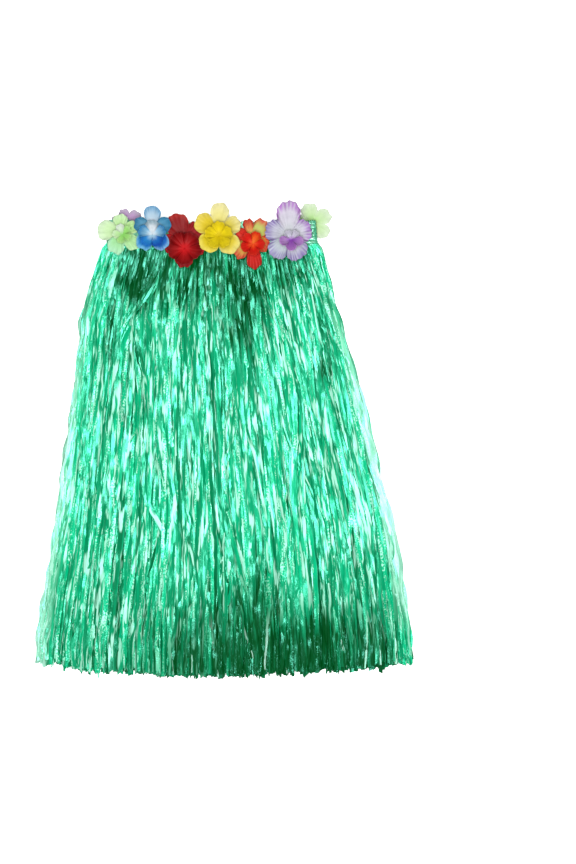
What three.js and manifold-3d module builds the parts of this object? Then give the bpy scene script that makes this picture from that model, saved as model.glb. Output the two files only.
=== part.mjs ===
// A hula skirt lying flat on a surface, front side up: an elastic waistband pressed flat, four rows of
// hanging strands (two on the front half of the band, two on the back half) and fabric flowers on the band.
// Millimetres. +Y runs from the hem to the waist, +X to the right as seen from above, +Z up.
// Points are laid out from the middle of the band's lower edge; the whole skirt is then centred on its box.
import * as THREE from "three";
import { mergeVertices } from "three/addons/utils/BufferGeometryUtils.js";
import Module from "manifold-3d";

const wasm = await Module();
wasm.setup();

// ---- driving sizes ----
const seam = 0.3; // clearance between pieces that touch
const band = { halfWidth: 138.6, depth: 30, wall: 1.2, low: 1.7, cords: 6, cordRise: 0.4, arcSteps: 5 };
const tape = { halfWidth: 135, low: 2, high: 14, thickness: 1 }; // heading tape that a row of strands is sewn to
const strandsInRow = 52;
const strand = {
  thickness: 0.8,
  sunk: 0.1, // how deep its root lies in the tape
  fill: 0.6, // its width as a share of its pitch
  jitter: 0.1, // how far it wanders, as a share of its pitch
  uneven: 6, // how far its tip is cut from the hem's line, at most
  curves: [-6, 0, 53, 160, 300, 450], // its sections' distances down from the band, before its tip
};
const sway = { share: 0.018, bends: 5, length: 90, starts: 200 }; // slow sideways curves that neighbours share
const petal = { thickness: 1, lobePower: 2.3, roundness: 0.55, bowl: 16, ruffle: 0.8 };

// The rows of strands, from the surface up. Their tapes lie on each other inside the band.
// Lift is a row's place in the pile, 0 on the surface and 1 on top. Stagger moves it by a share of its pitch.
const strandRows = [
  { name: "strands_back_outer", lift: 0, stagger: 0, seed: 11 },
  { name: "strands_back_inner", lift: 0.33, stagger: 0.5, seed: 23 },
  { name: "strands_front_inner", lift: 0.66, stagger: 0, seed: 37 },
  { name: "strands_front_outer", lift: 1, stagger: 0.5, seed: 53 },
];
strandRows.forEach((row, level) => {
  row.tapeLow = band.low + band.wall + seam + level * (tape.thickness + seam);
});
band.high = strandRows.at(-1).tapeLow + tape.thickness + seam + band.wall;

// The pile's outline and the height of its crown, at distances down from the band.
const pile = [
  { down: -6, left: -133, right: 133, height: 8 },
  { down: 0, left: -135, right: 134, height: 8 },
  { down: 9, left: -143, right: 142, height: 8 },
  { down: 25, left: -149, right: 147, height: 9 },
  { down: 53, left: -159, right: 156, height: 12 },
  { down: 105, left: -171, right: 170, height: 16 },
  { down: 160, left: -177, right: 184, height: 18 },
  { down: 290, left: -194, right: 215, height: 19 },
  { down: 370, left: -204, right: 236, height: 18 },
  { down: 450, left: -217, right: 250, height: 15 },
  { down: 525, left: -229, right: 260, height: 11 },
  { down: 590, left: -231, right: 262, height: 8 },
];
const sideFall = 0.6; // how much lower the pile is at its two sides
const settle = { from: 9, to: 53 }; // where the strands leave their tape's height for their place in the pile

// How far down the hem reaches, from the left side (-1) to the right side (1).
const hem = [
  { across: -1, down: 555 },
  { across: -0.7, down: 566 },
  { across: -0.3, down: 574 },
  { across: 0, down: 576 },
  { across: 0.35, down: 570 },
  { across: 0.75, down: 565 },
  { across: 1, down: 553 },
];
const stray = { row: "strands_front_outer", across: 0.24, extra: 14 }; // one strand that was cut long

// Hollows in the top of the pile, where the rows part.
const furrows = [
  { x: 40, down: 85, halfWidth: 28, halfLength: 70, depth: 3 },
  { x: -88, down: 60, halfWidth: 24, halfLength: 50, depth: 3 },
  { x: 62, down: 480, halfWidth: 34, halfLength: 80, depth: 3 },
];

// Flowers, each a sheet of petals. Those on the front have a smaller cup of petals stitched on it.
// x and y are the place of the stitch on the band. A petal has the direction it points in, and its reach.
// Notch is how far out the petals part, as a share of their reach: a full, pleated flower parts near its edge.
// Rise is how high the petals stand round the stitch: every other flower lies over its two neighbours.
const flowers = [
  {
    name: "flower_lime", x: -120, y: 13, rise: 4, waves: 5, notch: 0.5, colour: 0xbfe8a2,
    petals: [{ turn: 15, reach: 24 }, { turn: 86, reach: 22 }, { turn: 180, reach: 30 }, { turn: 259, reach: 31 },
      { turn: 315, reach: 32 }],
    cup: { dx: 3, dy: -4, reach: 13, turn: 40, rise: 4, notch: 0.6 },
  },
  {
    name: "flower_blue", x: -78, y: 17, rise: 11, waves: 5, notch: 0.5, colour: 0x6aa9cf,
    petals: [{ turn: 12, reach: 25 }, { turn: 90, reach: 28 }, { turn: 165, reach: 24 }, { turn: 247, reach: 32 },
      { turn: 297, reach: 33 }],
    cup: { dx: 0, dy: -9, reach: 18, turn: 18, rise: 6, notch: 0.72 },
  },
  {
    name: "flower_red", x: -36, y: 3, rise: 4, waves: 7, notch: 0.62, colour: 0xa30f14,
    petals: [{ turn: 33, reach: 28 }, { turn: 115, reach: 35 }, { turn: 210, reach: 30 }, { turn: 270, reach: 38 },
      { turn: 322, reach: 31 }],
    cup: { dx: 0, dy: -13, reach: 22, turn: 54, rise: 6, notch: 0.76 },
  },
  {
    name: "flower_yellow", x: 8, y: 12, rise: 11, waves: 5, notch: 0.55, colour: 0xe9cf2c,
    petals: [{ turn: 25, reach: 31 }, { turn: 84, reach: 37 }, { turn: 147, reach: 33 }, { turn: 233, reach: 31 },
      { turn: 313, reach: 35 }],
    cup: { dx: 1, dy: -6, reach: 18, turn: 20, rise: 7, notch: 0.72 },
  },
  {
    name: "flower_orange", x: 52, y: 3, rise: 4, waves: 6, notch: 0.6, colour: 0xd8301b,
    petals: [{ turn: 60, reach: 29 }, { turn: 104, reach: 26 }, { turn: 152, reach: 22 }, { turn: 231, reach: 32 },
      { turn: 277, reach: 40 }, { turn: 322, reach: 25 }],
    cup: { dx: 1, dy: -7, reach: 16, turn: 64, rise: 7, notch: 0.65 },
  },
  {
    name: "flower_violet", x: 100, y: 7, rise: 11, waves: 7, notch: 0.7, colour: 0xc9b9dc,
    petals: [{ turn: 20, reach: 31 }, { turn: 89, reach: 45 }, { turn: 162, reach: 31 }, { turn: 238, reach: 35 },
      { turn: 291, reach: 35 }],
    cup: { dx: 4, dy: -5, reach: 16, turn: 52, rise: 8, notch: 0.58 },
  },
  {
    name: "flower_back_lilac", x: -110, y: 24, rise: 0, waves: 0, notch: 0.6, colour: 0xc4a8cc,
    petals: [{ turn: 55, reach: 20 }, { turn: 118, reach: 21 }, { turn: 172, reach: 24 }, { turn: 244, reach: 20 },
      { turn: 310, reach: 20 }],
  },
  {
    name: "flower_back_lime", x: 131, y: 25, rise: 0, waves: 0, notch: 0.6, colour: 0xcbe8b4,
    petals: [{ turn: 25, reach: 27 }, { turn: 104, reach: 26 }, { turn: 178, reach: 24 }, { turn: 250, reach: 24 },
      { turn: 322, reach: 27 }],
  },
];
const edgeSteps = [-1, -0.85, -0.45, 0, 0.45, 0.85]; // places on a petal's edge, from one notch to the next
const petalRings = [0.2, 0.45, 0.75, 1]; // rings of points from the stitch to the edge
const cupRings = [0.5, 1];
const cupLift = 0.12; // more room between a cup and the bowl under it, because the petals there wave

// ---- helpers ----
const lerp = THREE.MathUtils.lerp;
const clamp01 = (t) => Math.min(1, Math.max(0, t));
const smooth = (t) => clamp01(t) ** 2 * (3 - 2 * clamp01(t));

// A repeatable number from -1 to 1 for each pair of whole numbers.
function spread(a, b) {
  const wave = Math.sin(a * 12.9898 + b * 78.233) * 43758.5453;
  return 2 * (wave - Math.floor(wave)) - 1;
}

// A column of a table, between its rows, at a value of the table's key column.
function lookUp(table, key, at, column) {
  const next = table.findIndex((row) => row[key] > at);
  if (next === 0) return table[0][column];
  if (next < 0) return table[table.length - 1][column];
  const [a, b] = [table[next - 1], table[next]];
  return lerp(a[column], b[column], (at - a[key]) / (b[key] - a[key]));
}

function meshOf(name, geometry, colour, roughness) {
  const material = new THREE.MeshStandardMaterial({ color: colour, roughness, metalness: 0 });
  const mesh = new THREE.Mesh(geometry, material);
  mesh.name = name;
  return mesh;
}

function geometryOf(points, triangles) {
  const geometry = new THREE.BufferGeometry();
  geometry.setAttribute("position", new THREE.Float32BufferAttribute(points, 3));
  geometry.setIndex(triangles);
  return geometry;
}

function solidOf(geometry) {
  const bare = geometry.clone();
  bare.deleteAttribute("normal");
  bare.deleteAttribute("uv");
  const merged = mergeVertices(bare);
  return new wasm.Manifold(
    new wasm.Mesh({
      numProp: 3,
      vertProperties: merged.attributes.position.array,
      triVerts: new Uint32Array(merged.index.array),
    }),
  );
}

function geometryOfSolid(solid) {
  const mesh = solid.getMesh();
  return geometryOf(Array.from(mesh.vertProperties), Array.from(mesh.triVerts));
}

// ---- waistband: one closed loop of elastic, pressed flat ----
// Points round a flattened loop, as seen along Y: up round its right end, then down round its left end.
function flatLoop(halfWidth, low, high) {
  const radius = (high - low) / 2;
  const points = [];
  for (const side of [1, -1]) {
    for (let step = 0; step <= band.arcSteps; step += 1) {
      const angle = Math.PI * (step / band.arcSteps - 0.5);
      const x = side * (halfWidth - radius + radius * Math.cos(angle));
      points.push({ x, z: (high + low) / 2 + side * radius * Math.sin(angle) });
    }
  }
  return points;
}

// The band is woven of cords that run round it, which stand out from its outer face.
function waistband() {
  const { halfWidth, depth, wall, low, high, cords, cordRise } = band;
  const loops = [];
  for (let half = 0; half <= 2 * cords; half += 1) {
    const rise = half % 2 === 1 ? cordRise : 0;
    loops.push({ y: (half / (2 * cords)) * depth, loop: flatLoop(halfWidth + rise, low - rise, high + rise) });
  }
  for (const y of [depth, 0]) {
    loops.push({ y, loop: flatLoop(halfWidth - wall, low + wall, high - wall) });
  }
  const points = loops.flatMap(({ y, loop }) => loop.flatMap(({ x, z }) => [x, y, z]));
  const sides = loops[0].loop.length;
  const triangles = [];
  for (let ring = 0; ring < loops.length; ring += 1) {
    const next = (ring + 1) % loops.length;
    for (let i = 0; i < sides; i += 1) {
      const j = (i + 1) % sides;
      const [a, b, c, d] = [ring * sides + i, ring * sides + j, next * sides + i, next * sides + j];
      triangles.push(a, c, b, b, c, d);
    }
  }
  return meshOf("waistband", geometryOf(points, triangles), 0x18a06c, 0.5);
}

// ---- strands ----
function furrowDepth(x, down) {
  return furrows.reduce((sum, f) => {
    const away = ((x - f.x) / f.halfWidth) ** 2 + ((down - f.down) / f.halfLength) ** 2;
    return sum + f.depth * Math.exp(-away);
  }, 0);
}

function crownHeight(across, x, down) {
  const side = 1 - sideFall * Math.abs(across) ** 3;
  return lookUp(pile, "down", down, "height") * side - furrowDepth(x, down) * side;
}

// The middle of a strand's flat underside at a distance down from the band.
function strandPoint(row, index, across, down) {
  const pitch = 2 / strandsInRow;
  const left = lookUp(pile, "down", down, "left");
  const right = lookUp(pile, "down", down, "right");
  const free = smooth(down / sway.starts);
  const bend = Math.sin(sway.bends * across + row.seed + down / sway.length) * (1 - across ** 2);
  const jitter = spread(index, row.seed + Math.round(down)) * strand.jitter * pitch;
  const at = across + (sway.share * bend + jitter) * free;
  const x = lerp(left, right, (at + 1) / 2);
  const settled = smooth((down - settle.from) / (settle.to - settle.from));
  const z = lerp(row.tapeLow + strand.sunk, row.lift * crownHeight(across, x, down), settled);
  return { x, y: -down, z, halfWidth: ((right - left) / 4) * pitch * strand.fill };
}

// A strand is a long three-sided prism, flat below and with a low ridge on top.
function strandGeometry(row, index) {
  const across = ((index + 0.5 + row.stagger) / (strandsInRow + 0.5)) * 2 - 1;
  const isStray = row.name === stray.row && Math.abs(across - stray.across) < 1 / strandsInRow;
  const cut = spread(index, row.seed) * strand.uneven + (isStray ? stray.extra : 0);
  const tip = lookUp(hem, "across", across, "down") + cut;
  const sections = [...strand.curves, tip].map((down) => strandPoint(row, index, across, down));
  const points = sections.flatMap(({ x, y, z, halfWidth }) => [
    ...[x - halfWidth, y, z],
    ...[x + halfWidth, y, z],
    ...[x, y, z + strand.thickness],
  ]);
  const triangles = [];
  for (let s = 0; s + 1 < sections.length; s += 1) {
    for (let side = 0; side < 3; side += 1) {
      const a = s * 3 + side;
      const b = s * 3 + ((side + 1) % 3);
      triangles.push(a, b, a + 3, b, b + 3, a + 3);
    }
  }
  const last = (sections.length - 1) * 3;
  triangles.push(0, 2, 1, last, last + 1, last + 2);
  return geometryOf(points, triangles);
}

function strandRow(row) {
  const heading = new THREE.BoxGeometry(2 * tape.halfWidth, tape.high - tape.low, tape.thickness);
  heading.translate(0, (tape.high + tape.low) / 2, row.tapeLow + tape.thickness / 2);
  let solid = solidOf(heading);
  for (let index = 0; index < strandsInRow; index += 1) {
    solid = solid.add(solidOf(strandGeometry(row, index)));
  }
  return meshOf(row.name, geometryOfSolid(solid), 0x19a873, 0.25);
}

// ---- flowers ----
// Directions round a petal sheet, from notch to notch, with how far out its edge is in each.
function edgeOf(petals, notch) {
  const ordered = [...petals].sort((a, b) => a.turn - b.turn);
  const edge = [];
  ordered.forEach((one, i) => {
    const before = ordered[(i + ordered.length - 1) % ordered.length];
    const after = ordered[(i + 1) % ordered.length];
    const sides = [
      { to: before, gap: (one.turn - before.turn + 360) % 360 },
      { to: after, gap: (after.turn - one.turn + 360) % 360 },
    ];
    for (const step of edgeSteps) {
      const side = sides[step < 0 ? 0 : 1];
      const inside = notch * Math.min(one.reach, side.to.reach);
      const lobe = (1 - Math.abs(step) ** petal.lobePower) ** petal.roundness;
      edge.push({ turn: one.turn + (step * side.gap) / 2, reach: lerp(inside, one.reach, lobe) });
    }
  });
  return edge;
}

// A sheet of petals: rings of points from the stitch to the edge, above and below, closed at the edge.
function petalGeometry(edge, shares, centre, heightAt) {
  const upper = [[centre.x, centre.y, heightAt(centre.x, centre.y, 0)]];
  for (const share of shares) {
    for (const { turn, reach } of edge) {
      const angle = THREE.MathUtils.degToRad(turn);
      const x = centre.x + Math.cos(angle) * reach * share;
      const y = centre.y + Math.sin(angle) * reach * share;
      upper.push([x, y, heightAt(x, y, share)]);
    }
  }
  const lower = upper.map(([x, y, z]) => [x, y, z - petal.thickness]);
  const triangles = [];
  const below = upper.length;
  const spokes = edge.length;
  for (let i = 0; i < spokes; i += 1) {
    const j = (i + 1) % spokes;
    triangles.push(0, 1 + i, 1 + j, below, below + 1 + j, below + 1 + i);
    for (let ring = 0; ring + 1 < shares.length; ring += 1) {
      const [a, b] = [1 + ring * spokes + i, 1 + ring * spokes + j];
      const [c, d] = [a + spokes, b + spokes];
      triangles.push(a, c, b, b, c, d);
      triangles.push(below + a, below + b, below + c, below + b, below + d, below + c);
    }
    const rim = 1 + (shares.length - 1) * spokes;
    triangles.push(rim + i, below + rim + i, rim + j, rim + j, below + rim + i, below + rim + j);
  }
  return geometryOf([...upper, ...lower].flat(), triangles);
}

function flower(spec) {
  const seat = spec.rise > 0 ? band.high + band.cordRise + seam + petal.thickness : petal.thickness;
  const bowlHeight = (x, y, share) => {
    const away = Math.hypot(x - spec.x, y - spec.y) / petal.bowl;
    const wave = Math.sin(spec.waves * Math.atan2(y - spec.y, x - spec.x)) * share ** 2;
    return seat + spec.rise * (1 - Math.exp(-(away ** 2))) + petal.ruffle * wave;
  };
  const outer = petalGeometry(edgeOf(spec.petals, spec.notch), petalRings, spec, bowlHeight);
  const meshes = [meshOf(`${spec.name}_petals`, outer, spec.colour, 0.8)];
  if (spec.cup) {
    const { dx, dy, reach, turn, rise, notch } = spec.cup;
    const petals = [0, 72, 144, 216, 288].map((degrees) => ({ turn: turn + degrees, reach }));
    const centre = { x: spec.x + dx, y: spec.y + dy };
    const lift = petal.thickness + seam + cupLift;
    const cupHeight = (x, y, share) => bowlHeight(x, y, 0) + lift + rise * share ** 2;
    const inner = petalGeometry(edgeOf(petals, notch), cupRings, centre, cupHeight);
    meshes.push(meshOf(`${spec.name}_cup`, inner, spec.colour, 0.8));
  }
  return meshes;
}

// ---- the skirt ----
const pieces = new THREE.Group();
pieces.add(waistband(), ...strandRows.map(strandRow), ...flowers.flatMap(flower));

// The origin is the middle of the skirt's box, on the surface that it lies on.
const box = new THREE.Box3().setFromObject(pieces);
const middle = box.getCenter(new THREE.Vector3());
pieces.position.set(-middle.x, -middle.y, -box.min.z);

const skirt = new THREE.Group();
skirt.add(pieces);
export default skirt;
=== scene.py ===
# Hula skirt, laid flat: film strands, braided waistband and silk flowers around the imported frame.
import math

import bpy
import numpy as np
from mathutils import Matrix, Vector


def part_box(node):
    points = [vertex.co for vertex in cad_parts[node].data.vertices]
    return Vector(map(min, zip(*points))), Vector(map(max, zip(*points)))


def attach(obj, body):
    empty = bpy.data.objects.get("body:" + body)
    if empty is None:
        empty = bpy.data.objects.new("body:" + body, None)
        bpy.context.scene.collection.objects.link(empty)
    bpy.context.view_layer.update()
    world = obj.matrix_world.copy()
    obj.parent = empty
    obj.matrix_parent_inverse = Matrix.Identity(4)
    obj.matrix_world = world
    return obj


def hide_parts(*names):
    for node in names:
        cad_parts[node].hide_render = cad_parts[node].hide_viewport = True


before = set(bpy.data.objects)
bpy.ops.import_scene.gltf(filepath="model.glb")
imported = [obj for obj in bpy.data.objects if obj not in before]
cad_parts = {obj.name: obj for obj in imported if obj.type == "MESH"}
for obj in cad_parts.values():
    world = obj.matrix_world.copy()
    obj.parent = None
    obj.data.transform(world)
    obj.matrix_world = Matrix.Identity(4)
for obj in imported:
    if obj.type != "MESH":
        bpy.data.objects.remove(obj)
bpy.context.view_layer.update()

mm = 0.001
bandLow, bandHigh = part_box("waistband")
# pieces are laid out from the middle of the band's lower edge, in mm, and "down" runs from there to the hem
waistX = (bandLow.x + bandHigh.x) / 2
waistY = bandLow.y
print("frame loaded, band is", round((bandHigh.x - bandLow.x) / mm), "mm wide")


# camera, lamps and floor

view = {
    "height": 2.6,
    "tall": 1.137,  # how much of the floor the picture takes in, from top to bottom
    "right": 0.0994,  # the picture's centre, from the band's
    "below": 0.2503,
    "sensor": 24.0,
}

studio = {
    "floorColour": (0.93, 0.93, 0.93),
    "floorSize": 14.0,
    "sky": 0.3,
    "lamps": [
        {"name": "overhead", "at": (0.0, -0.05, 1.3), "size": 0.72, "watts": 38.0},
        {"name": "over_waist", "at": (0.0, 0.48, 1.3), "size": 0.4, "watts": 8.0},
        {"name": "top_left", "at": (-0.85, 0.5, 1.2), "size": 0.3, "watts": 4.0},
        {"name": "right_side", "at": (1.1, 0.1, 1.1), "size": 0.3, "watts": 4.0},
    ],
}


def addObject(name, data):
    obj = bpy.data.objects.new(name, data)
    bpy.context.scene.collection.objects.link(obj)
    return obj


def placeCamera():
    data = bpy.data.cameras.new("camera")
    data.sensor_fit = "VERTICAL"
    data.sensor_height = view["sensor"]
    data.lens = view["sensor"] * view["height"] / view["tall"]
    data.clip_end = 20
    camera = addObject("camera", data)
    camera.location = (waistX + view["right"], waistY - view["below"], view["height"])
    bpy.context.scene.camera = camera


def placeLamp(lamp):
    data = bpy.data.lights.new(lamp["name"], "AREA")
    data.shape = "DISK"
    data.size = lamp["size"]
    data.energy = lamp["watts"]
    obj = addObject(lamp["name"], data)
    obj.location = lamp["at"]
    obj.rotation_euler = (-Vector(lamp["at"])).to_track_quat("-Z", "Y").to_euler()


def lightSky():
    world = bpy.data.worlds.new("studio")
    bpy.context.scene.world = world
    world.use_nodes = True
    background = world.node_tree.nodes["Background"]
    background.inputs["Color"].default_value = (1, 1, 1, 1)
    background.inputs["Strength"].default_value = studio["sky"]


class Value:
    # a socket that can stand in an expression, which adds the Math nodes for it
    def __init__(self, surface, socket):
        self.surface = surface
        self.socket = socket

    def maths(self, operation, first, second):
        return self.surface.node("Math", {"operation": operation}, {0: first, 1: second})

    def __add__(self, other):
        return self.maths("ADD", self, other)

    __radd__ = __add__

    def __sub__(self, other):
        return self.maths("SUBTRACT", self, other)

    def __rsub__(self, other):
        return self.maths("SUBTRACT", other, self)

    def __mul__(self, other):
        return self.maths("MULTIPLY", self, other)

    __rmul__ = __mul__

    def __pow__(self, other):
        return self.maths("POWER", self, other)


class Surface:
    def __init__(self, name):
        self.material = bpy.data.materials.new(name)
        self.material.use_nodes = True
        self.tree = self.material.node_tree
        self.tree.nodes.clear()

    def node(self, kind, settings=None, sockets=None, out=0):
        made = self.tree.nodes.new("ShaderNode" + kind)
        for key, value in (settings or {}).items():
            setattr(made, key, value)
        for key, value in (sockets or {}).items():
            self.feed(made.inputs[key], value)
        return Value(self, made.outputs[out]) if made.outputs else None

    def feed(self, socket, value):
        if isinstance(value, Value):
            self.tree.links.new(value.socket, socket)
        elif socket.type == "RGBA" and len(value) == 3:
            socket.default_value = (*value, 1)
        else:
            socket.default_value = value

    def mix(self, factor, first, second):
        return self.node("Mix", {"data_type": "RGBA"}, {0: factor, 6: first, 7: second}, out=2)

    def noise(self, vector, scale, detail=2.0, rough=0.5):
        sockets = {"Vector": vector, "Scale": scale, "Detail": detail, "Roughness": rough}
        return self.node("TexNoise", {}, sockets)

    def stretched(self, vector, scale):
        return self.node("VectorMath", {"operation": "MULTIPLY"}, {0: vector, 1: scale})

    def between(self, value, low, high):
        return self.node("MapRange", {}, {"Value": value, "From Min": low, "From Max": high})

    def bump(self, height, strength, distance):
        return self.node("Bump", {}, {"Height": height, "Strength": strength, "Distance": distance})

    def finish(self, sockets, seeThrough=None, share=0.0):
        shader = self.node("BsdfPrincipled", {}, sockets)
        if seeThrough:
            glow = self.node("BsdfTranslucent", {}, {"Color": seeThrough})
            shader = self.node("MixShader", {}, {0: share, 1: shader, 2: glow})
        self.node("OutputMaterial", {}, {"Surface": shader})
        return self.material


def paint(code, tone=0.45):
    # a linear colour from a hex code such as "#30a0ff"
    # tone mixes it darker, because the studio is lit brightly
    steps = [int(code[i : i + 2], 16) / 255 for i in (1, 3, 5)]
    return tuple(tone * (s / 12.92 if s <= 0.04045 else ((s + 0.055) / 1.055) ** 2.4) for s in steps)


def ramp(x, start, end):
    t = np.clip((x - start) / (end - start), 0, 1)
    return t * t * (3 - 2 * t)


def fromWaist(points):
    # the scene's own metres, from mm off the middle of the band's lower edge
    return points.reshape(-1, 3) * mm + np.array([waistX, waistY, 0])


def buildMesh(name, points, quads, material):
    mesh = bpy.data.meshes.new(name)
    mesh.vertices.add(len(points))
    mesh.vertices.foreach_set("co", np.asarray(points, np.float32).ravel())
    mesh.loops.add(quads.size)
    mesh.loops.foreach_set("vertex_index", quads.ravel())
    mesh.polygons.add(len(quads))
    mesh.polygons.foreach_set("loop_start", np.arange(0, quads.size, 4))
    mesh.polygons.foreach_set("use_smooth", np.ones(len(quads), bool))
    mesh.update(calc_edges=True)
    mesh.validate()
    mesh.materials.append(material)
    return addObject(name, mesh)


def gridQuads(rows, columns, wrapRows=False, wrapColumns=False):
    # quads of a grid of points stored row by row
    r = np.arange(rows if wrapRows else rows - 1)[:, None]
    c = np.arange(columns if wrapColumns else columns - 1)[None, :]
    nextR = (r + 1) % rows
    nextC = (c + 1) % columns
    corners = [r * columns + c, r * columns + nextC, nextR * columns + nextC, nextR * columns + c]
    return np.stack([np.broadcast_to(k, (len(r), c.size)) for k in corners], -1).reshape(-1, 4)


def addUv(obj, name, perVertex, quads):
    layer = obj.data.uv_layers.new(name=name, do_init=False)
    layer.data.foreach_set("uv", perVertex.reshape(-1, 2)[quads.ravel()].astype(np.float32).ravel())


def addNumber(obj, name, perVertex):
    attribute = obj.data.attributes.new(name, "FLOAT", "POINT")
    attribute.data.foreach_set("value", perVertex.astype(np.float32).ravel())


pile = {
    # distance down from the band, the skirt's left and right edge there, and the height of its crown
    "down": [-10, 0, 9, 25, 53, 105, 160, 290, 370, 450, 525, 600],
    "left": [-132, -134, -143, -149, -159, -171, -177, -194, -204, -217, -229, -231],
    "right": [132, 134, 142, 147, 156, 170, 184, 215, 236, 250, 260, 262],
    "crown": [7, 7, 8, 9, 12, 16, 18, 19, 18, 15, 10, 5],
    "sideFall": 0.6,
    "hemAcross": [-1, -0.7, -0.3, 0, 0.35, 0.75, 1],
    "hemDown": [550, 560, 567, 569, 564, 559, 548],
    "hollows": [
        # dark furrows in the top of the pile, where the strands part
        {"x": 40, "down": 78, "halfWidth": 25, "halfLength": 62, "depth": 3},
        {"x": -94, "down": 50, "halfWidth": 27, "halfLength": 38, "depth": 3},
        {"x": 50, "down": 490, "halfWidth": 34, "halfLength": 70, "depth": 1.3},
        {"x": -33, "down": 58, "halfWidth": 18, "halfLength": 32, "depth": 2.4},
        {"x": 92, "down": 44, "halfWidth": 11, "halfLength": 20, "depth": 2},
        {"x": -131, "down": 118, "halfWidth": 9, "halfLength": 34, "depth": 2},
        {"x": 145, "down": 170, "halfWidth": 10, "halfLength": 14, "depth": 2},
        {"x": -55, "down": 160, "halfWidth": 8, "halfLength": 18, "depth": 1.6},
        {"x": -95, "down": 150, "halfWidth": 16, "halfLength": 34, "depth": 1},
        {"x": 120, "down": 560, "halfWidth": 70, "halfLength": 66, "depth": 2},
    ],
    "bandFloor": 3.2,  # the strands' roots lie between these two heights inside the band
    "bandCeiling": 7.9,
}

strands = {
    "rootUp": 10.0,  # how far the strips run up inside the band
    "segments": 112,
    "halfWidth": (2.0, 3.6),
    "fold": (0.05, 0.75),  # how far the crease along a strip stands out of its edges
    "foldsDown": 0.3,  # the share of strips whose crease points down
    "crease": 0.21,
    "uneven": 3.2,
    "slant": 1.3,
    "taper": 0.55,  # how much narrower the narrowest tips are
    "kick": (0.14, 13.0),  # the share of strips that swing aside near the hem, and how far
    "lockLength": (320, 700),  # how far apart the places are where a lock is drawn together
    "crossing": (0.4, 0.075),  # the share of strips that stray across the others, and how far
    "crossingFrom": (15, 330),
    "crossingOver": (70, 240),
    "drift": 0.018,  # how far strips have drifted apart by the hem
    "wander": 0.005,
    "stray": 5.0,  # how far a strip at the side may stand out of the others
    "strayRest": (-0.7, 0.45),  # where in that range a strip lies, and how much that differs
    "sway": 0.3,
    "heave": 0.9,
    "crumple": (1.1, 0.3),  # how far strips near the band wave up and down, and how far they roll, in radians
    "roll": {"whole": 0.32, "slow": 0.42, "quick": 0.16},  # in radians
    "lowestLine": 0.4,
    "lowestEdge": 0.15,
    "waves": {
        # the shortest and the longest wave of each kind
        "wander": (160, 420),
        "fray": (40, 90),
        "sway": (30, 70),
        "heave": (60, 200),
        "crumple": (34, 90),
        "crumpledRoll": (40, 110),
        "slowRoll": (180, 480),
        "quickRoll": (34, 80),
        "fold": (50, 150),
        "paleLight": (50, 160),
    },
    "bundles": [
        # strips near "across" cross over their neighbours by "shift" between two distances down
        {"across": -0.46, "spread": 0.06, "shift": -0.27, "from": 25, "to": 150},
        {"across": -0.62, "spread": 0.05, "shift": 0.14, "from": 60, "to": 230},
        {"across": -0.2, "spread": 0.05, "shift": -0.13, "from": 20, "to": 170},
        {"across": 0.18, "spread": 0.06, "shift": -0.12, "from": 110, "to": 300},
        {"across": 0.42, "spread": 0.05, "shift": 0.18, "from": 30, "to": 190},
        {"across": 0.55, "spread": 0.05, "shift": -0.11, "from": 170, "to": 380},
        {"across": -0.35, "spread": 0.05, "shift": 0.1, "from": 240, "to": 430},
        {"across": 0.75, "spread": 0.05, "shift": -0.1, "from": 60, "to": 330},
        {"across": 0.0, "spread": 0.05, "shift": 0.12, "from": 330, "to": 520},
    ],
    "rows": [
        {"name": "film_back_outer", "count": 220, "level": (0.02, 0.24), "locks": 30, "seed": 3,
         "bundled": 0.0, "pull": (0.05, 0.3), "replaces": "strands_back_outer"},
        {"name": "film_back_inner", "count": 240, "level": (0.22, 0.48), "locks": 34, "seed": 5,
         "bundled": 0.0, "pull": (0.05, 0.3), "replaces": "strands_back_inner"},
        {"name": "film_front_inner", "count": 420, "level": (0.46, 0.76), "locks": 44, "seed": 7,
         "bundled": 0.35, "pull": (0.1, 0.6), "replaces": "strands_front_inner"},
        {"name": "film_front_outer", "count": 310, "level": (0.74, 1.0), "locks": 52, "seed": 9,
         "bundled": 0.65, "pull": (0.1, 0.8), "replaces": "strands_front_outer"},
    ],
}


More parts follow.
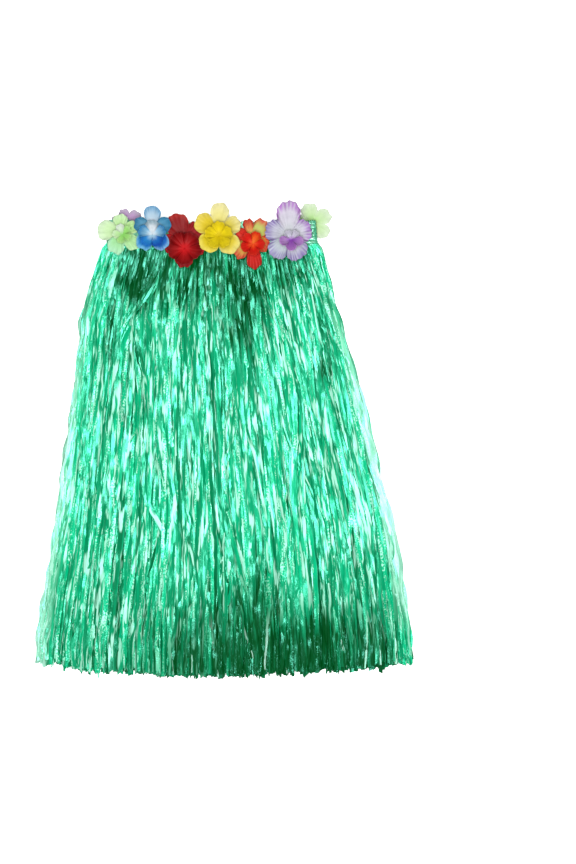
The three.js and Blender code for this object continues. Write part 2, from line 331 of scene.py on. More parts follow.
def filmMaterial():
    s = Surface("crinkled_film")
    ribbon = s.node("Attribute", {"attribute_name": "ribbon"}, out="Fac")
    paintedLight = s.node("Attribute", {"attribute_name": "paintedLight"}, out="Fac")
    shine = s.node("Attribute", {"attribute_name": "shine"}, out="Fac")
    strip = s.node("UVMap", {"uv_map": "strip"})
    across = s.node("SeparateXYZ", {}, {0: strip})
    place = s.node("TexCoord", out="Object")
    streaks = s.noise(s.stretched(place, (330, 20, 330)), 1.0, 3)
    patches = s.noise(s.stretched(place, (11, 5, 11)), 1.0, 2)
    crinkle = s.noise(s.stretched(strip, (2.2, 190, 1)), 1.0, 4, 0.65)
    crimps = s.noise(s.stretched(strip, (3.0, 430, 1)), 1.0, 1)
    crimped = s.between(ribbon, 0.7, 0.78)  # about a quarter of the strips are crimped across
    glintLengths = s.noise(s.stretched(strip, (0.9, 21, 1)), 1.0, 2)  # painted highlights: pale lengths along each strip where painted glints fall
    edge = s.node("Math", {"operation": "ABSOLUTE"}, {0: across * 2 - 1}) ** 6
    # the film's green varies at random per strip and by noise, and also carries the painted shade and painted
    # light from the strips' attribute
    bright = s.between(ribbon * 0.95 + streaks * 0.9 + patches * 0.5 + paintedLight * 0.9, 1.2, 2.35)
    body = s.mix(bright, paint("#005018"), paint("#02cc8c"))
    paleLight = s.node("Attribute", {"attribute_name": "paleLight"}, out="Fac")
    # painted highlight: the strips' edges are lighter mint where the film is painted brighter
    edgeHighlighted = s.mix(edge * bright * 0.3, body, paint("#6fe6bf"))
    # painted highlights: pale glints along the strips, only where the shine attribute lets them fall
    paintedGlints = s.between(glintLengths + crimped * (crimps - 0.5) * 0.6, 0.545, 0.615) * shine
    # the painted highlights are paler where the film's painted light is higher
    glintColour = s.mix(s.between(paintedLight, 0.05, 0.8), paint("#2ccc90", 0.6), paint("#b8f8e2", 0.66))
    withGlints = s.mix(paintedGlints * 0.8, edgeHighlighted, glintColour)
    # painted light: the thinnest strips at the sides and some strips by the hem are painted pale
    colour = s.mix(paleLight, withGlints, paint("#ccfbea", 0.75))
    return s.finish(
        {
            "Base Color": colour,
            "Roughness": 0.1 + streaks * 0.22,
            "IOR": 1.6,
            "Specular IOR Level": 0.5,
            "Specular Tint": (0.2, 1.0, 0.74),
            "Normal": s.bump(crinkle + crimped * crimps * 1.2, 0.5, 0.0006),
        },
        paint("#10c080"),
        0.15,
    )


def waves(rng, down, kind):
    # one random wave for each strip, between -1 and 1
    length = rng.uniform(*strands["waves"][kind], (len(down), 1))
    return np.sin(2 * math.pi * (down / length + rng.uniform(0, 1, (len(down), 1))))


def layFilm(row, material):
    rng = np.random.default_rng(row["seed"])
    count = row["count"]
    stations = strands["segments"] + 1
    across = (2 * (np.arange(count) + rng.uniform(0.1, 0.9, count)) / count - 1)[:, None]
    level = rng.uniform(*row["level"], (count, 1))
    hem = np.interp(across, pile["hemAcross"], pile["hemDown"]) + rng.normal(0, strands["uneven"], (count, 1))
    along = np.linspace(0, 1, stations)[None, :]
    down = -strands["rootUp"] + along * (hem + strands["rootUp"])

    # strips gather into locks, some cross their neighbours, and all of them wander a little
    pitch = 2 / row["locks"]
    lock = np.floor((across + 1) / pitch).astype(int) % row["locks"]
    pull = rng.uniform(*row["pull"], row["locks"])[lock]
    phase = rng.uniform(0, 1, row["locks"])[lock]
    length = rng.uniform(*strands["lockLength"], row["locks"])[lock]
    gathered = pull * (0.5 - 0.5 * np.cos(2 * math.pi * (down / length + phase))) * ramp(down, 10, 110)
    place = across + ((lock + 0.5) * pitch - 1 - across) * gathered
    crossers, shift = strands["crossing"]
    crossing = (rng.uniform(0, 1, (count, 1)) < crossers) * rng.normal(0, shift, (count, 1))
    start = rng.uniform(*strands["crossingFrom"], (count, 1))
    place = place + crossing * ramp(down, start, start + rng.uniform(*strands["crossingOver"], (count, 1)))
    for bundle in strands["bundles"]:
        joins = rng.uniform(0, 1, (count, 1)) < row["bundled"]
        near = (np.abs(across - bundle["across"]) < bundle["spread"]) & joins
        place = place + near * bundle["shift"] * ramp(down, bundle["from"], bundle["to"])
    place = place + rng.normal(0, strands["drift"], (count, 1)) * down / 560
    place = place + strands["wander"] * waves(rng, down, "wander") * ramp(down, 0, 150)
    place = place / np.maximum(1, np.abs(place))

    left = np.interp(down, pile["down"], pile["left"])
    right = np.interp(down, pile["down"], pile["right"])
    x = left + (right - left) * (place + 1) / 2
    atSide = np.sign(place) * ramp(np.abs(place), 0.9, 1) * ramp(down, 15, 90)
    stray = rng.normal(*strands["strayRest"], (count, 1)) + 0.35 * waves(rng, down, "wander")
    stray = stray + 0.25 * waves(rng, down, "fray")
    x = x + atSide * strands["stray"] * stray
    x = x + strands["sway"] * waves(rng, down, "sway") * ramp(down, 10, 60)
    kicks, aside = strands["kick"]
    kicked = rng.uniform(0, 1, (count, 1)) < kicks
    kick = kicked * rng.normal(0, aside, (count, 1)) * (1 - np.abs(place[:, -1:]) ** 4)
    x = x + kick * ramp(down, hem - rng.uniform(60, 150, (count, 1)), hem + 30)
    crown = np.interp(down, pile["down"], pile["crown"]) * (1 - pile["sideFall"] * np.abs(place) ** 3)
    root = pile["bandFloor"] + level * (pile["bandCeiling"] - pile["bandFloor"])
    hollow = np.zeros_like(x)
    for one in pile["hollows"]:
        away = ((x - one["x"]) / one["halfWidth"]) ** 2 + ((down - one["down"]) / one["halfLength"]) ** 2
        hollow = hollow + one["depth"] * np.exp(-away)
    z = root + (level * (crown - hollow) - root) * ramp(down, 2, 50)
    z = z + strands["heave"] * waves(rng, down, "heave") * ramp(down, 20, 80) * level
    # near the band the film is crumpled, which breaks its shine into short glints
    loose = np.random.default_rng(row["seed"] + 40)
    crumpled = ramp(down, 8, 30) * (1 - 0.8 * ramp(down, 60, 170))
    heave, turnAside = strands["crumple"]
    z = z + heave * waves(loose, down, "crumple") * crumpled * level
    z = np.maximum(z, strands["lowestLine"])

    # each strip rolls about its own line, is folded along it and crinkled across it
    rolls = strands["roll"]
    roll = rng.normal(0, rolls["whole"], (count, 1)) + rolls["slow"] * waves(rng, down, "slowRoll")
    roll = roll + rolls["quick"] * waves(rng, down, "quickRoll")
    roll = roll + turnAside * waves(loose, down, "crumpledRoll") * crumpled
    roll = roll * (0.35 + 0.65 * ramp(down, 0, 40))
    half = rng.uniform(*strands["halfWidth"], (count, 1)) * (0.8 + 0.2 * ramp(down, 0, 80))
    half = half * (1 - strands["taper"] * rng.uniform(0, 1, (count, 1)) ** 2 * ramp(down, hem - 45, hem))
    half = half * (1 - 0.5 * (kick != 0) * ramp(down, hem - 110, hem - 30))
    sides = [strands["foldsDown"], 1 - strands["foldsDown"]]
    fold = rng.uniform(*strands["fold"], (count, 1)) * rng.choice([-1, 1], (count, 1), p=sides)
    fold = fold * (0.75 + 0.35 * waves(rng, down, "fold"))
    slopeX = np.gradient(x, axis=1)
    slopeY = -np.gradient(down, axis=1)
    size = np.hypot(slopeX, slopeY)
    side = np.stack([-slopeY / size, slopeX / size, np.zeros_like(x)], -1)
    up = np.array([0, 0, 1.0])
    wide = np.cos(roll)[..., None] * side + np.sin(roll)[..., None] * up
    out = np.cos(roll)[..., None] * up - np.sin(roll)[..., None] * side
    middle = np.stack([x, -down, z], -1)
    crease = rng.normal(0, strands["crease"], (count, stations, 3, 1))
    points = np.stack(
        [
            middle - wide * half[..., None] + out * crease[:, :, 0],
            middle + out * (fold[..., None] + crease[:, :, 1]),
            middle + wide * half[..., None] + out * crease[:, :, 2],
        ],
        2,
    )
    slant = rng.normal(0, strands["slant"], (count, 1)) * np.array([-1, 0, 1.0])
    points[:, -1, :, 1] += slant  # the ends are cut a little askew
    points[..., 2] = np.maximum(points[..., 2], strands["lowestEdge"])

    ribbonQuads = gridQuads(stations, 3)
    quads = (ribbonQuads[None] + np.arange(count)[:, None, None] * stations * 3).reshape(-1, 4)
    obj = buildMesh(row["name"], fromWaist(points), quads, material)
    ends = np.empty(len(obj.data.edges) * 2, np.int64)
    obj.data.edges.foreach_get("vertices", ends)
    sharp = (ends.reshape(-1, 2) % 3 == 1).all(1)
    obj.data.edges.foreach_set("use_edge_sharp", sharp)

    t = np.array([0.0, 0.5, 1.0])[None, None, :]
    shape = (count, stations, 3)
    ribbonNumber = np.arange(count)[:, None, None]
    stripUv = np.stack(np.broadcast_arrays(t, down[..., None] * mm + 0.9 * ribbonNumber), -1)
    column = (ribbonNumber + 0.06 + 0.88 * np.broadcast_to(t, shape)) / count
    bakeUv = np.stack([column, np.broadcast_to(along[..., None], shape)], -1)
    addUv(obj, "strip", stripUv, quads)
    addUv(obj, "OFBake", bakeUv, quads)
    addNumber(obj, "ribbon", np.broadcast_to(rng.uniform(0, 1, (count, 1, 1)), shape))
    # painted light and shade on the film's green, where painted white highlights fall, and how pale painted
    # light makes its outermost strips
    bySide = ramp(np.abs(place), 0.62, 0.95)
    byHem = ramp(place, -0.62, -0.2) * (1 - 0.5 * ramp(place, 0.85, 1)) * ramp(down, 430, 550)
    # painted shade: darker where other film covers it, near the band, far down, by the hem and in the
    # hollows; painted light: lighter at the very sides
    paintedLight = 1 - 0.9 * (1 - level) - 0.6 * (1 - ramp(down, 15, 110)) * (1 - 0.8 * bySide)
    paintedLight = paintedLight + 0.4 * ramp(np.abs(place), 0.86, 1) - 0.12 * ramp(down, 440, 560)
    paintedLight = paintedLight - 0.5 * byHem - 0.45 * hollow
    # where painted highlights fall: fewer on covered film, by the hem, near the band and in the hollows
    shine = (0.25 + 0.75 * level) * (1 - 0.7 * byHem) * ramp(down, -10, 40) * (1 - 0.3 * hollow)
    # painted light makes the outermost strips pale, and some kicked strips near the hem
    paleLight = ramp(np.abs(place), 0.93, 1) * ramp(down, 40, 200) * rng.uniform(0.1, 0.8, (count, 1))
    paleLight = paleLight * (1 - ramp(place, 0, 0.5) * ramp(down, 440, 520))
    paleLight = paleLight * (0.8 + 0.2 * waves(rng, down, "paleLight"))
    shown = (kick != 0) & (level > 0.82) & (rng.uniform(0, 1, (count, 1)) < 0.6)
    paleLight = np.maximum(paleLight, 0.4 * shown * ramp(down, hem - 90, hem - 30))
    addNumber(obj, "paintedLight", np.broadcast_to(paintedLight[..., None], shape))
    addNumber(obj, "shine", np.broadcast_to(shine[..., None], shape))
    addNumber(obj, "paleLight", np.broadcast_to(paleLight[..., None], shape))
    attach(obj, "root")
    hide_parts(row["replaces"])
    return obj


braid = {
    "cords": 6,
    "swell": 0.55,  # how far a cord stands out at its middle
    "ply": 0.22,  # depth of the twist in a cord
    "plyLength": 3.4,
    "wall": 1.1,
    "around": 470,
    "over": 66,
    "edge": 0.2,  # how far its edges wave, and over what length
    "edgeLength": 46,
    "narrow": 0.022,  # how much shorter its top edge is than its lower edge
    "dips": [
        # where it sags between flowers, how far, and over what width
        {"x": -27, "deep": 7, "wide": 10},
        {"x": 33, "deep": 6, "wide": 9},
        {"x": 54, "deep": 5, "wide": 12},
        {"x": 77, "deep": 7, "wide": 10},
        {"x": -103, "deep": 6, "wide": 11},
        {"x": -62, "deep": 4, "wide": 8},
        {"x": 128, "deep": 3.5, "wide": 22},
        {"x": -138, "deep": 3, "wide": 12},
    ],
}


def braidMaterial():
    s = Surface("tinsel_braid")
    place = s.node("TexCoord", out="Object")
    tufts = s.noise(s.stretched(place, (900, 900, 900)), 1.0, 2)
    glints = s.node("TexVoronoi", {}, {"Vector": place, "Scale": 700.0}, out="Color")
    glint = s.between(s.node("SeparateColor", {}, {0: glints}), 0.62, 0.95)
    yarn = s.mix(s.between(tufts, 0.3, 0.7), paint("#067a4c"), paint("#24bd88"))
    colour = s.mix(glint * 0.7, yarn, paint("#9cf2d2"))
    return s.finish(
        {
            "Base Color": colour,
            "Roughness": 0.5 - glint * 0.3,
            "Metallic": glint * 0.5,
            "Normal": s.bump(tufts, 0.5, 0.0005),
        }
    )


class BandPath:
    # runs right along the back wall, round the right end, left along the front, and round the left end
    def __init__(self):
        low, high = bandLow.z / mm, bandHigh.z / mm
        self.radius = (high - low) / 2 - braid["swell"]
        self.height = (high + low) / 2
        self.straight = (bandHigh.x - bandLow.x) / 2 / mm - braid["swell"] - self.radius
        self.deep = (bandHigh.y - bandLow.y) / mm
        self.arc = math.pi * self.radius
        self.girth = 4 * self.straight + 2 * self.arc

    def at(self, along):
        # x, z and the outward direction at a distance along the path
        wall = 2 * self.straight
        onBack = np.clip(along, 0, wall)
        onRight = np.clip(along - wall, 0, self.arc) / self.radius
        onFront = np.clip(along - wall - self.arc, 0, wall)
        onLeft = np.clip(along - 2 * wall - self.arc, 0, self.arc) / self.radius
        turned = onRight + onLeft
        x = -self.straight + onBack - onFront + self.radius * np.sin(turned)
        z = self.height - self.radius * np.cos(turned)
        return x, z, np.stack([np.sin(turned), np.zeros_like(turned), -np.cos(turned)], -1)

    def sag(self, x):
        return sum(-dip["deep"] * np.exp(-(((x - dip["x"]) / dip["wide"]) ** 2)) for dip in braid["dips"])


def weaveBand(path, material):
    along = (np.arange(braid["around"]) / braid["around"] * path.girth)[:, None]
    x, z, normal = path.at(along)
    over = np.linspace(0, 1, braid["over"])[None, :]
    cord = np.minimum(np.floor(over * braid["cords"]), braid["cords"] - 1)
    within = 2 * (over * braid["cords"] - cord) - 1
    lean = np.where(cord % 2 == 0, 1, -1)
    twist = np.sin(2 * math.pi * along / braid["plyLength"] + lean * within * 2.4)
    rise = braid["swell"] * np.sqrt(np.clip(1 - within**2, 0, 1)) + braid["ply"] * twist * (1 - within**2)
    inner = np.array([1.0, 0.66, 0.33, 0.0])[None, :]
    innerRise = np.full((braid["around"], 4), -braid["wall"])
    offset = np.concatenate([rise, innerRise], 1)[..., None]
    wave = path.sag(x) + braid["edge"] * np.sin(2 * math.pi * along / braid["edgeLength"])
    y = np.concatenate([over * path.deep + wave, inner * path.deep + wave], 1)
    base = np.stack([x, np.zeros_like(x), z], -1)
    points = base + normal * offset
    points[..., 0] *= 1 - braid["narrow"] * np.concatenate([over, inner], 1)
    points[..., 1] = y
    points[..., 2] = np.maximum(points[..., 2], 0.1)
    rows, columns = points.shape[:2]
    quads = gridQuads(rows, columns, wrapRows=True, wrapColumns=True)
    obj = buildMesh("braided_band", fromWaist(points), quads, material)
    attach(obj, "root")
    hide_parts("waistband")
    return obj


tinsel = {
    "count": 1600,
    "length": (1.6, 4.8),
    "halfWidth": (0.25, 0.5),
    "rise": (0.1, 1.0),  # how steeply a sliver stands off the braid, in radians
    "root": 0.3,  # how far off the cords' own line a sliver starts
    "edgeShare": 0.3,  # how many of them grow from the band's two edges
    "topEdge": 0.5,  # how long those on the upper edge are beside the others
    "droop": 0.35,
    "taper": 0.6,
    "seed": 31,
}


def tinselMaterial():
    s = Surface("tinsel_sliver")
    bright = s.node("Attribute", {"attribute_name": "bright"}, out="Fac")
    place = s.node("TexCoord", out="Object")
    flecks = s.noise(s.stretched(place, (1500, 1500, 1500)), 1.0, 1)
    colour = s.mix(s.between(bright + flecks * 0.4, 0.5, 1.1), paint("#088a58"), paint("#84ecc6"))
    return s.finish({"Base Color": colour, "Metallic": bright * 0.4, "Roughness": 0.2 + flecks * 0.3})


def addTinsel(path, material):
    # slivers of film that are spun into the braid and stand out of it, on the front and the two ends
    rng = np.random.default_rng(tinsel["seed"])
    count = tinsel["count"]
    along = rng.uniform(2 * path.straight, path.girth, (count, 1))
    x, z, normal = path.at(along)
    over = rng.uniform(0.02, 0.98, (count, 1))
    onEdge = rng.uniform(0, 1, (count, 1)) < tinsel["edgeShare"]
    over = np.where(onEdge, np.round(over), over)
    root = np.stack([x * (1 - braid["narrow"] * over), over * path.deep + path.sag(x), z], -1)
    root = root + tinsel["root"] * normal
    turn = rng.uniform(0, 2 * math.pi, (count, 1, 1))
    outward = (np.round(over) * 2 - 1)[..., None] * rng.uniform(0.2, 2.9, (count, 1, 1))
    turn = np.where(onEdge[..., None], outward, turn)
    tangent = np.cross(normal, np.array([0, 1.0, 0]))
    flat = np.cos(turn) * tangent + np.sin(turn) * np.array([0, 1.0, 0])
    rise = rng.uniform(*tinsel["rise"], (count, 1, 1))
    out = np.cos(rise) * flat + np.sin(rise) * normal
    shorter = np.where(onEdge & (over > 0.5), tinsel["topEdge"], 1)[..., None]
    length = rng.uniform(*tinsel["length"], (count, 1, 1)) * shorter
    t = np.linspace(0, 1, 4)[None, :, None]
    line = root + out * length * t - normal * tinsel["droop"] * length * t**2
    half = rng.uniform(*tinsel["halfWidth"], (count, 1, 1)) * (1 - tinsel["taper"] * t)
    across = np.cross(out, normal)
    points = np.stack([line - across * half, line + across * half], 2)
    points[..., 2] = np.maximum(points[..., 2], 0.15)
    quads = (gridQuads(4, 2)[None] + np.arange(count)[:, None, None] * 8).reshape(-1, 4)
    obj = buildMesh("band_tinsel", fromWaist(points), quads, material)
    shape = (count, 4, 2)
    number = np.arange(count)[:, None, None]
    columns = math.ceil(math.sqrt(count))
    u = (number % columns + 0.15 + 0.7 * np.array([0, 1.0])[None, None, :] + 0 * t) / columns
    v = (number // columns + 0.15 + 0.7 * t) / columns
    addUv(obj, "OFBake", np.stack(np.broadcast_arrays(u, v), -1), quads)
    addNumber(obj, "bright", np.broadcast_to(rng.uniform(0, 1, (count, 1, 1)), shape))
    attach(obj, "root")
    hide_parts("waistband")
    return obj


petals = {
    "steps": 30,  # spokes over one petal
    "rings": 22,
    "lobePower": 2.3,  # how wide a petal stays towards its tip
    "roundness": 0.55,
    "scallop": 0.026,  # how far the edge waves in and out, as a share of its reach
    "bowl": 16.0,
    "thickness": 0.35,
    "cupLift": 1.45,  # how far a cup lies over the petals at its stitch
    "seat": 1.0,  # how far the petals' stitch lies over the lowest point of their solid
    "usualReach": 30,  # a longer petal's folds are deeper in proportion
    "tilt": 0.5,
    "camber": (0.6, 1.8),
    "vein": 0.7,  # how deep the groove down the middle of a petal is
    "veinWidth": 0.16,
    "pressed": 0.25,  # how much of this the flowers under the band keep
    "lowest": 0.15,
    "rimFrom": 0.55,
    "tone": 0.47,
}

flowers = [
    # colours run from the stitch, over the middle of a petal, to its rim; the stitch is at x, y on the band
    {
        "name": "lime", "x": -120, "y": 13, "slot": "petal_lime", "rise": 4, "seed": 21, "notch": 0.5,
        "colours": ("#a8e07c", "#cdeeb0", "#d9f0c6"),
        "pleats": 3, "pleat": 0.3, "ruffle": 1.2, "streak": 0.2,
        "petals": [
            {"turn": 15, "reach": 24, "colours": ("#a9e385", "#b9ea95", "#c8efac")},
            {"turn": 86, "reach": 22, "colours": ("#aadd8c", "#bfe9a2", "#cdeebb")},
            {"turn": 180, "reach": 30, "colours": ("#b9e39c", "#cdeeb4", "#d6f0c8")},
            {"turn": 259, "reach": 31, "colours": ("#a0e37c", "#aae8a6", "#b4ecc0")},
            {"turn": 315, "reach": 32, "colours": ("#8cdc6c", "#b4e8a0", "#bfefb4")},
        ],
        "cup": {
            "dx": 3, "dy": -4, "rise": 4, "notch": 0.6, "colours": ("#8ed868", "#a0e078", "#b8ea98"),
            "petals": [
                {"turn": 40, "reach": 13},
                {"turn": 112, "reach": 13, "colours": ("#b4e0a0", "#d4e8cc", "#dcead8")},
                {"turn": 184, "reach": 13, "colours": ("#9cdc80", "#c0eaa4", "#d0eec0")},
                {"turn": 256, "reach": 13},
                {"turn": 328, "reach": 13},
            ],
        },
    },
    {
        "name": "blue", "x": -78, "y": 17, "slot": "petal_blue", "rise": 11, "seed": 22, "notch": 0.5,
        "colours": ("#c9dce6", "#6fb0d4", "#3f8fbf"),
        "pleats": 3, "pleat": 0.35, "ruffle": 1.3, "streak": 0.3,
        "petals": [
            {"turn": 12, "reach": 25, "colours": ("#d3dde6", "#5b9fc2", "#2f7ea6")},
            {"turn": 90, "reach": 28, "colours": ("#dfe2ea", "#b8d2e4", "#6fa6cc")},
            {"turn": 165, "reach": 24, "colours": ("#c3d7e2", "#5f9fc0", "#2b769a")},
            {"turn": 247, "reach": 32, "colours": ("#7cc0e6", "#2384cc", "#74bcde"), "rimFrom": 0.8},
            {"turn": 297, "reach": 33, "colours": ("#7cc0e6", "#1a66bc", "#7cb4de"), "rimFrom": 0.8},
        ],
        "cup": {
            "dx": 0, "dy": -9, "rise": 6, "notch": 0.72, "colours": ("#cfe6f4", "#7cbce4", "#1f78c8"),
            "petals": [
                {"turn": 18, "reach": 18, "colours": ("#d8eaf4", "#8cc2e2", "#3a8cc4")},
                {"turn": 90, "reach": 18, "colours": ("#d8e4ec", "#dde5ea", "#9cb8c4")},
                {"turn": 162, "reach": 18, "colours": ("#d8eaf4", "#84bcdc", "#3488c0")},
                {"turn": 234, "reach": 18, "colours": ("#b4dcf2", "#2f92dc", "#1c74cc")},
                {"turn": 306, "reach": 18, "colours": ("#b4dcf2", "#1f78d0", "#1550b4")},
            ],
        },
    },
    {
        "name": "red", "x": -36, "y": 3, "slot": "petal_red", "rise": 4, "seed": 23, "notch": 0.62,
        "colours": ("#8c0d12", "#a01418", "#aa1c24"),
        "pleats": 4, "pleat": 0.6, "ruffle": 1.4, "streak": 0.5,
        "petals": [
            {"turn": 33, "reach": 28, "colours": ("#7a0a0e", "#960e14", "#a01820"), "rimFrom": 0.7},
            {"turn": 115, "reach": 35, "colours": ("#7c0a0e", "#8c0c10", "#b02a24"), "rimFrom": 0.72,
             "lobePower": 1.6},
            {"turn": 210, "reach": 30, "colours": ("#8c0408", "#a4080e", "#a8141c")},
            {"turn": 270, "reach": 38, "colours": ("#8c0408", "#90060c", "#9c0e16")},
            {"turn": 322, "reach": 31, "colours": ("#8c0408", "#9c060c", "#ac1420")},
        ],
        "cup": {
            "dx": 0, "dy": -13, "rise": 6, "notch": 0.76, "colours": ("#cc0a12", "#9c0408", "#7a0408"),
            "pleats": 3, "pleat": 0.9,
            "petals": [{"turn": 54 + 72 * k, "reach": 22} for k in range(5)],
        },
    },
    {
        "name": "yellow", "x": 8, "y": 12, "slot": "petal_yellow", "rise": 11, "seed": 24, "notch": 0.55,
        "colours": ("#dcc21c", "#e8d23c", "#efe07a"),
        "pleats": 3, "pleat": 0.35, "ruffle": 1.3, "streak": 0.2,
        "petals": [
            {"turn": 25, "reach": 31, "colours": ("#ceb61e", "#dccb50", "#ece092")},
            {"turn": 84, "reach": 37, "colours": ("#dcc828", "#eae088", "#ece4a4")},
            {"turn": 147, "reach": 33, "colours": ("#c9b016", "#e0c624", "#e9d45c")},
            {"turn": 233, "reach": 31, "colours": ("#ccb40e", "#e4cc1c", "#ecda5c"), "rimFrom": 0.7},
            {"turn": 313, "reach": 35, "colours": ("#ccb40e", "#e0ca30", "#e8da78"), "rimFrom": 0.65},
        ],
        "cup": {
            "dx": 1, "dy": -6, "rise": 7, "notch": 0.72, "colours": ("#dcc208", "#f4dc18", "#f0d620"),
            "petals": [{"turn": 20 + 72 * k, "reach": 18} for k in range(5)],
        },
    },
    {
        "name": "orange", "x": 52, "y": 3, "slot": "petal_orange", "rise": 4, "seed": 25, "notch": 0.6,
        "colours": ("#d0140c", "#dc2416", "#dc3c28"),
        "pleats": 3, "pleat": 0.4, "ruffle": 1.3, "streak": 0.3,
        "petals": [
            {"turn": 60, "reach": 29, "colours": ("#d0180e", "#bfc864", "#d85a4c"), "rimFrom": 0.62},
            {"turn": 104, "reach": 26, "colours": ("#d8c860", "#d88c48", "#cc302c"), "rimFrom": 0.45},
            {"turn": 152, "reach": 22},
            {"turn": 231, "reach": 32, "colours": ("#cc1a10", "#d8b04c", "#d84a3c")},
            {"turn": 277, "reach": 40, "colours": ("#d8160c", "#d01c14", "#c42a22")},
            {"turn": 322, "reach": 25, "colours": ("#d0180e", "#dc9c3c", "#d83a2c")},
        ],
        "cup": {
            "dx": 1, "dy": -7, "rise": 7, "notch": 0.65, "colours": ("#e84a14", "#dc1a10", "#dc2c1c"),
            "petals": [
                {"turn": 64, "reach": 16, "colours": ("#ec7018", "#ec5c18", "#dc2c14")},
                {"turn": 136, "reach": 16},
                {"turn": 208, "reach": 16},
                {"turn": 280, "reach": 16},
                {"turn": 352, "reach": 16},
            ],
        },
    },
    {
        "name": "violet", "x": 100, "y": 7, "slot": "petal_violet", "rise": 11, "seed": 26, "notch": 0.7,
        "colours": ("#dcdde6", "#d3cfe2", "#a98cc8"),
        "pleats": 6, "pleat": 0.6, "ruffle": 1.5, "streak": 0.9,
        "petals": [
            {"turn": 20, "reach": 31, "colours": ("#d6dade", "#cfcdda", "#aa7ec6"), "rimFrom": 0.6},
            {"turn": 89, "reach": 45, "colours": ("#d4d8dc", "#d2cddb", "#b478c8"), "rimFrom": 0.66,
             "lobePower": 1.5},
            {"turn": 162, "reach": 31, "colours": ("#d6dade", "#c8c8d8", "#9684be")},
            {"turn": 238, "reach": 35, "colours": ("#d4e0de", "#c9d2da", "#9a90c0")},
            {"turn": 291, "reach": 35, "colours": ("#d4e0de", "#cacbd8", "#9080b8")},
        ],
        "cup": {
            "dx": 4, "dy": -5, "rise": 8, "notch": 0.58, "colours": ("#8c3fb4", "#a45cc4", "#c080d8"),
            "petals": [
                {"turn": 52, "reach": 12, "colours": ("#b48ccc", "#d8d4e4", "#dad6e6")},
                {"turn": 124, "reach": 12, "colours": ("#b48ccc", "#dcdce8", "#dcdae8")},
                {"turn": 196, "reach": 16, "colours": ("#9a58be", "#c498d6", "#c88edc")},
                {"turn": 268, "reach": 16, "colours": ("#8c44b0", "#b06ccc", "#cc8ede")},
                {"turn": 340, "reach": 16, "colours": ("#8c44b0", "#b880d0", "#cc9cde")},
            ],
        },
    },
    {
        "name": "back_lilac", "x": -110, "y": 24, "slot": "petal_lilac", "rise": 0, "seed": 27, "notch": 0.6,
        "colours": ("#b9a0c0", "#c59fce", "#bdb0c4"),
        "pleats": 3, "pleat": 0.15, "ruffle": 0.3, "streak": 0.3,
        "petals": [
            {"turn": 55, "reach": 20},
            {"turn": 118, "reach": 21},
            {"turn": 172, "reach": 24},
            {"turn": 244, "reach": 20},
            {"turn": 310, "reach": 20},
        ],
    },
    {
        "name": "back_lime", "x": 131, "y": 25, "slot": "petal_lime", "rise": 0, "seed": 28, "notch": 0.6,
        "colours": ("#b4e68c", "#cdebb4", "#dcefce"),
        "pleats": 3, "pleat": 0.15, "ruffle": 0.3, "streak": 0.2,
        "petals": [
            {"turn": 25, "reach": 27},
            {"turn": 104, "reach": 26},
            {"turn": 178, "reach": 24},
            {"turn": 250, "reach": 24},
            {"turn": 322, "reach": 27},
        ],
    },
]


def petalMaterial():
    s = Surface("silk_petal")
    tint = s.node("Attribute", {"attribute_name": "tint"}, out="Color")
    fan = s.node("UVMap", {"uv_map": "fan"})
    veins = s.noise(s.stretched(fan, (34, 1.6, 1)), 1.0, 3, 0.6)
    place = s.node("TexCoord", out="Object")
    threads = s.noise(s.stretched(place, (2600, 700, 700)), 1.0, 1)
    threadsAcross = s.noise(s.stretched(place, (700, 2600, 700)), 1.0, 1)
    shade = s.mix(s.between(veins, 0.3, 0.75) * 0.22, tint, s.mix(0.5, tint, (0, 0, 0)))
    rubbed = s.between(s.noise(place, 140.0, 2), 0.38, 0.66)
    shade = s.mix(rubbed * 0.2, shade, s.mix(0.45, shade, (0, 0, 0)))
    weave = threads * 0.5 + threadsAcross * 0.5
    first = s.bump(veins, 0.35, 0.0008)
    both = s.node("Bump", {}, {"Height": weave, "Strength": 0.25, "Distance": 0.0002, "Normal": first})
    return s.finish(
        {
            "Base Color": shade,
            "Roughness": 0.35 + weave * 0.4,
            "Specular IOR Level": 0.1,
            "Normal": both,
        },
        shade,
        0.15,
    )


def lobedEdge(layer):
    # turn in radians, reach in mm, place on the petal from -1 to 1 and petal number for each spoke
    ordered = sorted(layer["petals"], key=lambda one: one["turn"])
    step = np.sin(math.pi / 2 * np.linspace(-1, 1, petals["steps"], endpoint=False))
    turns, reaches, steps, numbers = [], [], [], []
    for i, one in enumerate(ordered):
        before, after = ordered[i - 1], ordered[(i + 1) % len(ordered)]
        gapBefore = (one["turn"] - before["turn"]) % 360
        gapAfter = (after["turn"] - one["turn"]) % 360
        gap = np.where(step < 0, gapBefore, gapAfter)
        other = np.where(step < 0, before["reach"], after["reach"])
        inside = layer["notch"] * np.minimum(one["reach"], other)
        lobe = (1 - np.abs(step) ** one.get("lobePower", petals["lobePower"])) ** petals["roundness"]
        turns.append(np.radians(one["turn"] + step * gap / 2))
        reaches.append(inside + (one["reach"] - inside) * lobe)
        steps.append(step)
        numbers.append(np.full(len(step), i))
    return ordered, *(np.concatenate(k) for k in (turns, reaches, steps, numbers))


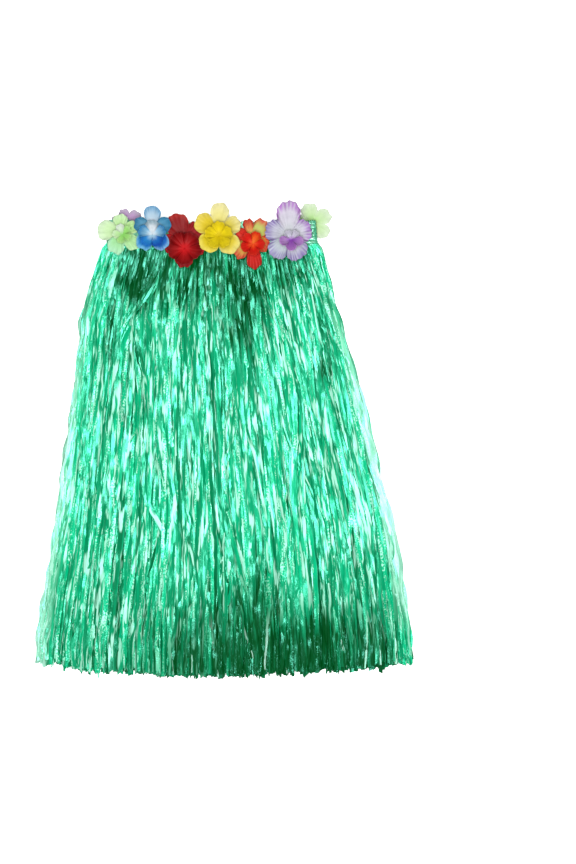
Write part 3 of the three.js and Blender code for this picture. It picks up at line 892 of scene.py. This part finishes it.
def petalSheet(name, flower, layer, centre, heightAt, material):
    rng = np.random.default_rng(flower["seed"] + len(name))
    ordered, turn, reach, step, number = lobedEdge(layer)
    phase = rng.uniform(0, 2 * math.pi, len(ordered))[number]
    pleats = layer.get("pleats", flower["pleats"])
    pleat = layer.get("pleat", flower["pleat"])
    scallop = np.sin(2 * math.pi * pleats * step / 2 + phase) + 0.6 * np.sin(7.3 * step + 2 * phase)
    reach = reach * (1 + petals["scallop"] * scallop * (1 - step**4))
    share = np.linspace(0.02, 1, petals["rings"])[:, None]
    x = centre[0] + np.cos(turn) * reach * share
    y = centre[1] + np.sin(turn) * reach * share
    tilt = rng.normal(0, petals["tilt"], len(ordered))[number]
    camber = rng.uniform(*petals["camber"], len(ordered))[number]
    flat = petals["pressed"] if flower["rise"] == 0 else 1.0
    z = heightAt(x, y, share)
    size = reach.max() / petals["usualReach"]
    z = z + flat * camber * size * step**2 * share**2
    z = z + pleat * size * np.cos(math.pi * pleats * step + phase) * share**1.4
    z = z + flower["ruffle"] * size * np.sin(3.5 * math.pi * step + phase * 2) * share**4
    groove = np.exp(-((step / petals["veinWidth"]) ** 2))
    z = z + flat * tilt * share**2 - flat * petals["vein"] * groove * share * (1.15 - share)
    z = np.maximum(z, petals["thickness"] + petals["lowest"])

    default = layer.get("colours", flower["colours"])
    stops = [[paint(code, petals["tone"]) for code in one.get("colours", default)] for one in ordered]
    stops = np.array(stops)[number]
    inner = ramp(share, 0.1, 0.6)[..., None]
    rimFrom = np.array([one.get("rimFrom", petals["rimFrom"]) for one in ordered])[number]
    rim = ramp(share, rimFrom, 1.0)[..., None]
    colour = stops[None, :, 0] * (1 - inner) + stops[None, :, 1] * inner
    streaks = 0.5 + 0.5 * np.cos(9 * math.pi * step + phase * 3) + rng.normal(0, 0.12, len(step))
    rim = np.clip(rim * (1 + flower["streak"] * (streaks[None, :, None] - 0.5) * 1.6), 0, 1)
    colour = colour * (1 - rim) + stops[None, :, 2] * rim

    points = np.stack([x, y, z], -1)
    rows, columns = x.shape
    quads = gridQuads(rows, columns, wrapColumns=True)[:, ::-1]
    obj = buildMesh(name, fromWaist(points), quads, material)
    tint = obj.data.attributes.new("tint", "FLOAT_COLOR", "POINT")
    opaque = np.concatenate([colour, np.ones((rows, columns, 1))], -1)
    tint.data.foreach_set("color", opaque.astype(np.float32).ravel())
    fanUv = np.stack(np.broadcast_arrays(np.arange(columns)[None, :] / petals["steps"], share), -1)
    addUv(obj, "fan", fanUv, quads)
    solid = obj.modifiers.new("thickness", "SOLIDIFY")
    solid.thickness = petals["thickness"] * mm
    solid.offset = -1
    return obj, flatCut(turn, reach * share, z)


def flatCut(turn, away, z):
    # the cut's width and length, and its area: each spoke is laid flat at its own length along the cloth
    spoke = away[0] + np.hypot(np.diff(away, axis=0), np.diff(z, axis=0)).sum(0)
    size = tuple(float(np.ptp(spoke * side) * mm) for side in (np.cos(turn), np.sin(turn)))
    between = np.diff(turn, append=turn[0] + 2 * math.pi)
    return size, float(0.5 * np.sum(spoke * np.roll(spoke, -1) * np.sin(between)) * mm * mm)


def sewFlower(flower, material):
    centre = (flower["x"], flower["y"])
    node = "flower_" + flower["name"]
    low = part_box(node + "_petals")[0]
    seat = low.z / mm + petals["seat"] if flower["rise"] else petals["seat"]

    def bowl(x, y, share):
        away = np.hypot(x - centre[0], y - centre[1]) / petals["bowl"]
        return seat + flower["rise"] * (1 - np.exp(-(away**2)))

    pieces = [(node + "_petals", flower, centre, bowl)]
    if "cup" in flower:
        cup = flower["cup"]
        cupCentre = (centre[0] + cup["dx"], centre[1] + cup["dy"])

        def cupHeight(x, y, share):
            return bowl(x, y, share) + petals["cupLift"] + cup["rise"] * share**2

        pieces.append((node + "_cup", cup, cupCentre, cupHeight))
    for name, layer, middle, height in pieces:
        obj, (cut, area) = petalSheet(name + "_silk", flower, layer, middle, height, material)
        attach(obj, "root")
        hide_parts(name)


placeCamera()
lightSky()
for lamp in studio["lamps"]:
    placeLamp(lamp)

floorShade = Surface("floor").finish({"Base Color": studio["floorColour"], "Roughness": 0.9})
corners = np.array([[-1, -1, 0], [1, -1, 0], [1, 1, 0], [-1, 1, 0]]) * studio["floorSize"] / 2
buildMesh("floor", corners, np.array([[0, 1, 2, 3]]), floorShade)
print("camera, lamps and floor placed")

film = filmMaterial()
hanging = [layFilm(row, film) for row in strands["rows"]]
print("film strands laid:", sum(row["count"] for row in strands["rows"]))

bandPath = BandPath()
band = weaveBand(bandPath, braidMaterial())
slivers = addTinsel(bandPath, tinselMaterial())
cut = (bandPath.girth * mm, bandPath.deep * mm)
print("waistband woven, with", tinsel["count"], "slivers of tinsel")

silk = petalMaterial()
for flower in flowers:
    sewFlower(flower, silk)
print("flowers sewn on:", len(flowers))

bpy.context.scene.view_settings.view_transform = "Standard"
